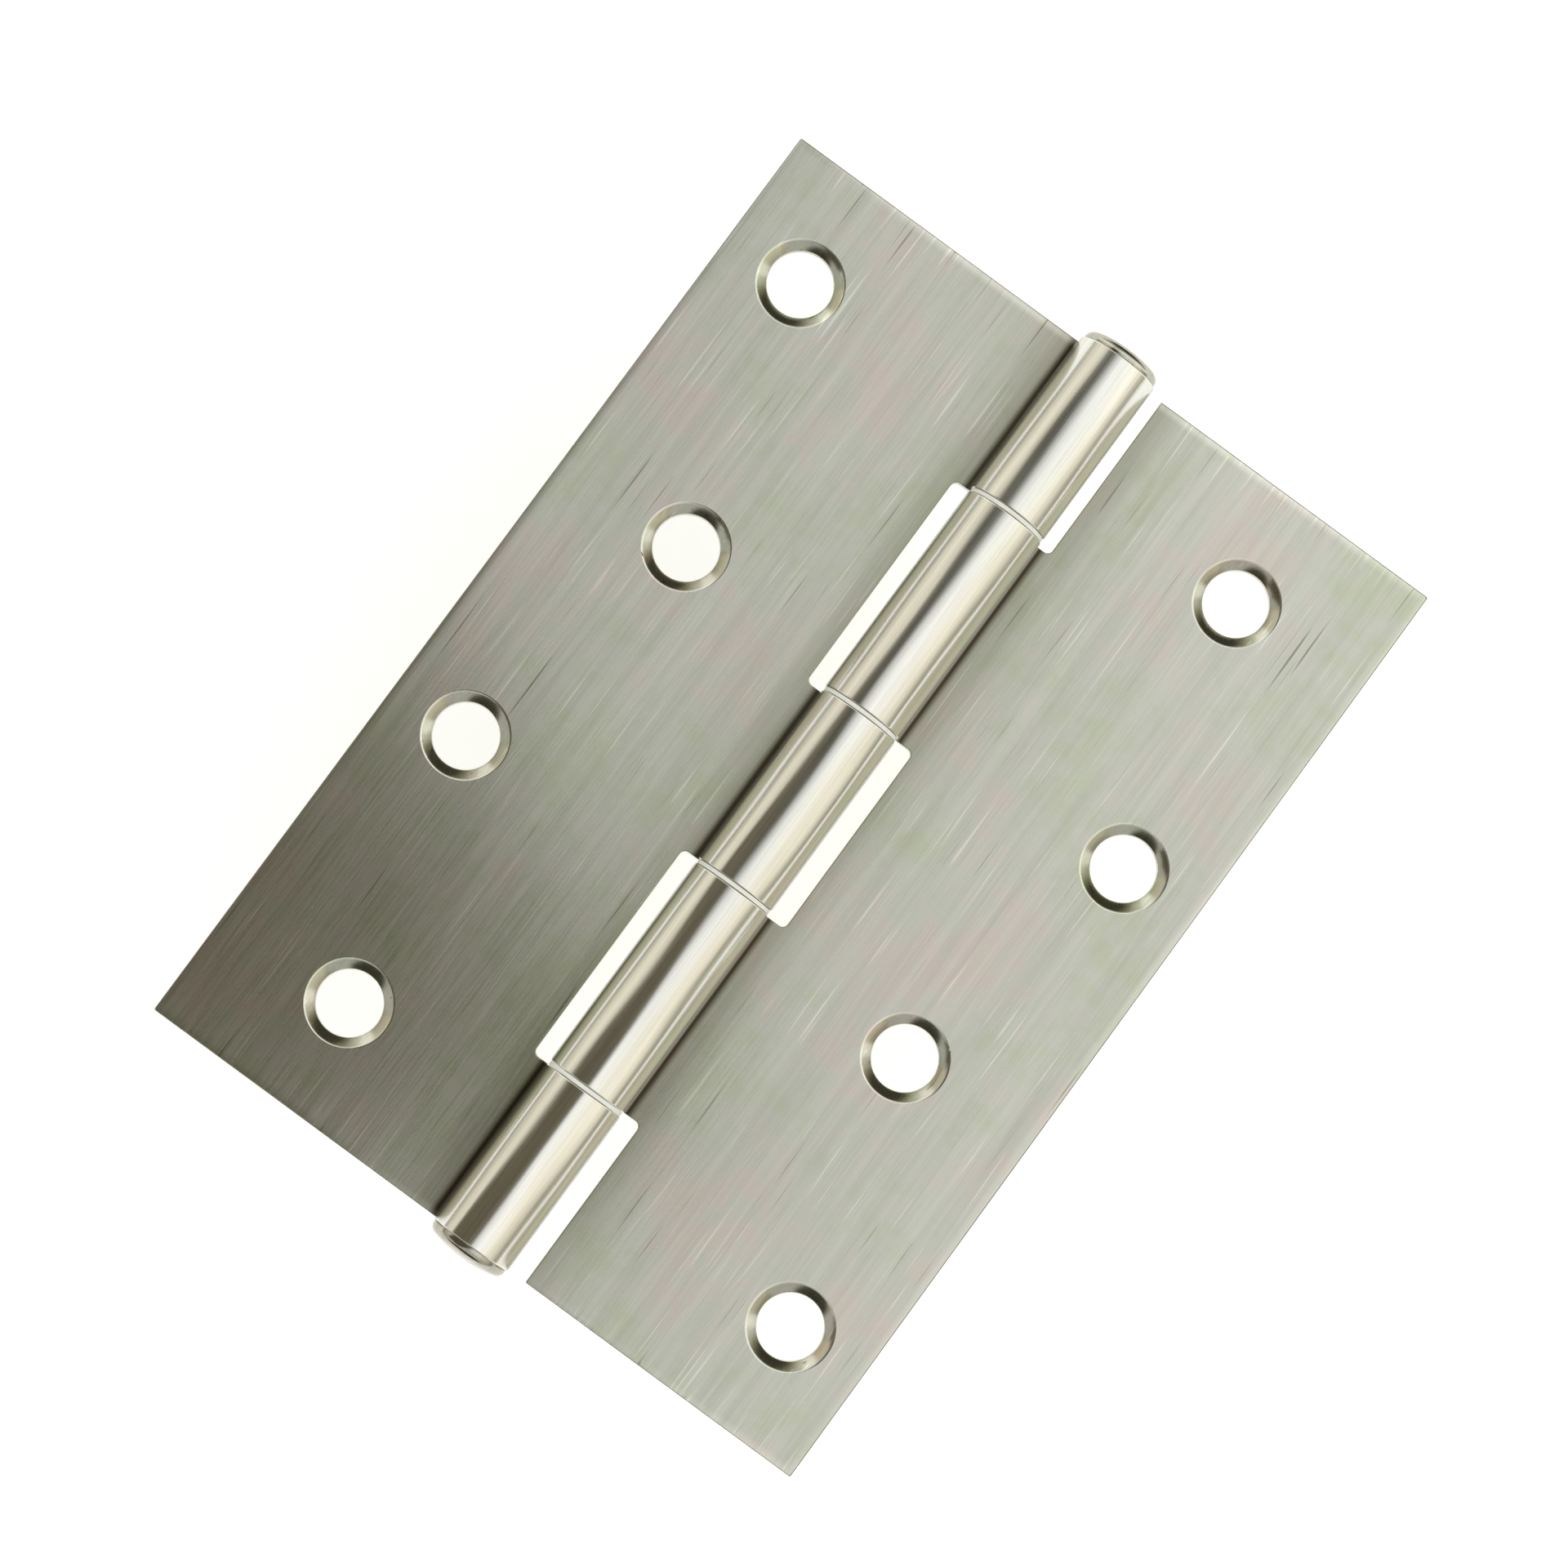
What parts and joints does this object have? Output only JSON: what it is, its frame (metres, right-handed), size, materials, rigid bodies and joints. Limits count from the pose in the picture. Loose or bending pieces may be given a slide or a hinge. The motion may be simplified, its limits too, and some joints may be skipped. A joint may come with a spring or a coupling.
{
  "type": "butt hinge",
  "caption": "Flat butt hinge: two countersunk steel leaves rolled into a knuckled barrel on a fixed pin, with thin washers between the knuckles.",
  "frame": {"origin": "under the middle of the pin, on the plane of the leaves' backs", "axes": "+Y along the pin towards the first knuckle, +Z out of the leaves' fronts on the side where the barrel stands proud, +X towards the two-knuckle leaf"},
  "size_m": [0.072, 0.1028, 0.0082],
  "materials": {
    "leaf_steel": "stainless sheet, long brushed grain along the pin, knuckles polished by rolling",
    "pin_steel": "polished stainless pin, its ends formed into domed heads",
    "washer_nylon": "white nylon"
  },
  "bodies": {
    "frame_leaf": {"three_knuckle_leaf": "leaf_steel", "hinge_pin": "pin_steel", "washer_1": "washer_nylon", "washer_2": "washer_nylon", "washer_3": "washer_nylon", "washer_4": "washer_nylon"},
    "door_leaf": {"two_knuckle_leaf": "leaf_steel"}
  },
  "joints": [
    {"name": "leaf_swing", "type": "hinge", "parent": "frame_leaf", "child": "door_leaf", "pos_m": [0, 0, 0.0041], "axis": [0, -1, 0], "range_deg": [-104, 187]}
  ]
}
